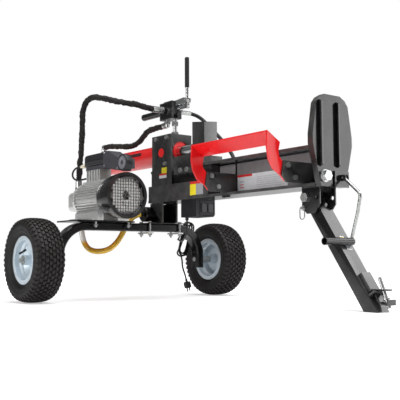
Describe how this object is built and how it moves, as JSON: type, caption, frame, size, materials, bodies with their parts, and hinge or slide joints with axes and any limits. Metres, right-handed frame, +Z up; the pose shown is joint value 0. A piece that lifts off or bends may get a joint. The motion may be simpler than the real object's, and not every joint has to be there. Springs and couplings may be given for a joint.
{
  "type": "log_splitter",
  "caption": "Electric hydraulic log splitter on two pneumatic wheels: horizontal ram, wedge and anvil on an H-beam, red log cradle, control lever, motor with gear pump, folding stand leg with towing hitch.",
  "frame": {"origin": "on the ground, at the centre of the machine's bounding box in plan", "axes": "+X along the beam from the cylinder to the anvil and hitch, +Y towards the side away from the motor, +Z up"},
  "size_m": [1.766, 1.032, 1.024],
  "materials": {
    "black_paint": "gloss powder coat",
    "red_paint": "gloss paint",
    "chrome": "polished",
    "zinc": "zinc plated",
    "steel": "machined",
    "aluminium": "cast, bare",
    "rim_grey": "satin silver",
    "tyre_rubber": "matt",
    "hose_sleeve": "woven nylon sleeve",
    "rubber": "satin",
    "clear_pvc": "clear hose filled with oil",
    "black_plastic": "fine grain",
    "grey_plastic": "fine grain",
    "fan_white": "moulded",
    "button_grey": "moulded",
    "laminations": "laminated sheet"
  },
  "bodies": {
    "frame": {"axle_frame": "black_paint", "beam": "black_paint", "capacitor_cover": "black_plastic", "cord_hank": "rubber", "cord_tail": "rubber", "cradle_brackets": "black_paint", "cylinder_barrel": "red_paint", "cylinder_heads": "red_paint", "end_plate": "black_paint", "fan_cowl": "black_paint", "frame_bolts": "zinc", "hose_fittings": "zinc", "lever_bracket": "chrome", "log_cradle": "red_paint", "mains_plug": "rubber", "motor_bearings": "steel", "motor_body": "aluminium", "motor_cable": "rubber", "motor_plate": "black_paint", "motor_shields": "aluminium", "pedestal": "black_paint", "pivot_pins": "zinc", "power_cord": "rubber", "pressure_hose": "hose_sleeve", "pump_body": "aluminium", "retract_hose": "hose_sleeve", "return_hose": "rubber", "stator": "laminations", "stub_axles": "zinc", "suction_filter": "black_paint", "suction_hose": "clear_pvc", "switch_box": "black_plastic", "tank_plates": "black_paint", "terminal_housing": "grey_plastic", "tower": "black_paint", "trunnion_pins": "red_paint", "valve_body": "black_paint"},
    "left_wheel": {"left_rim": "rim_grey", "left_tyre": "tyre_rubber"},
    "right_wheel": {"right_rim": "rim_grey", "right_tyre": "tyre_rubber"},
    "ram": {"piston": "steel", "piston_rod": "chrome", "slider": "black_paint", "slider_bolts": "zinc", "wedge": "black_paint"},
    "rotor": {"rotor_shaft": "steel", "cooling_fan": "fan_white", "drive_gear": "steel"},
    "idler": {"driven_gear": "steel"},
    "spool": {"spool": "chrome"},
    "lever": {"control_lever": "chrome", "lever_grip": "rubber"},
    "leg": {"stand_leg": "black_paint", "hitch_bracket": "black_paint"},
    "hitch_pin": {"hitch_pin": "zinc"},
    "stay": {"stay_handle": "chrome"},
    "lock_pin": {"lock_pin": "zinc"},
    "start_button": {"start_button": "button_grey"},
    "stop_button": {"stop_button": "button_grey"}
  },
  "joints": [
    {"name": "left_wheel_turn", "type": "hinge", "parent": "frame", "child": "left_wheel", "pos_m": [-0.353, -0.454, 0.165], "axis": [0, 1, 0], "continuous": true},
    {"name": "right_wheel_turn", "type": "hinge", "parent": "frame", "child": "right_wheel", "pos_m": [-0.353, 0.454, 0.165], "axis": [0, 1, 0], "continuous": true},
    {"name": "ram_slide", "type": "slide", "parent": "frame", "child": "ram", "axis": [1, 0, 0], "range_m": [0, 0.51]},
    {"name": "rotor_turn", "type": "hinge", "parent": "frame", "child": "rotor", "pos_m": [-0.353, -0.158, 0.418], "axis": [1, 0, 0], "continuous": true},
    {"name": "idler_turn", "type": "hinge", "parent": "frame", "child": "idler", "pos_m": [-0.521, -0.158, 0.3939], "axis": [1, 0, 0], "continuous": true},
    {"name": "lever_tilt", "type": "hinge", "parent": "frame", "child": "lever", "pos_m": [-0.156, 0.147, 0.838], "axis": [0, 1, 0], "range_deg": [-17, 17]},
    {"name": "spool_slide", "type": "slide", "parent": "frame", "child": "spool", "axis": [1, 0, 0], "range_m": [-0.008, 0.008]},
    {"name": "leg_fold", "type": "hinge", "parent": "frame", "child": "leg", "pos_m": [0.568, 0.147, 0.374], "axis": [0, 1, 0], "range_deg": [-55, 0]},
    {"name": "hitch_pin_lift", "type": "slide", "parent": "leg", "child": "hitch_pin", "axis": [-0.3604, 0, 0.9328], "range_m": [0, 0.018]},
    {"name": "stay_swing", "type": "hinge", "parent": "frame", "child": "stay", "pos_m": [0.672, 0.185, 0.437], "axis": [0, 1, 0], "range_deg": [-60, 0]},
    {"name": "lock_pin_draw", "type": "slide", "parent": "frame", "child": "lock_pin", "axis": [0, -1, 0], "range_m": [0, 0.105]},
    {"name": "start_press", "type": "slide", "parent": "frame", "child": "start_button", "axis": [-1, 0, 0], "range_m": [0, 0.003], "stiffness_N_per_m": 400},
    {"name": "stop_press", "type": "slide", "parent": "frame", "child": "stop_button", "axis": [-1, 0, 0], "range_m": [0, 0.003], "stiffness_N_per_m": 400}
  ],
  "couplings": [
    {"joint": "idler_turn", "follows": "rotor_turn", "ratio": -1},
    {"joint": "spool_slide", "follows": "lever_tilt", "m_per_rad": -0.0265}
  ]
}
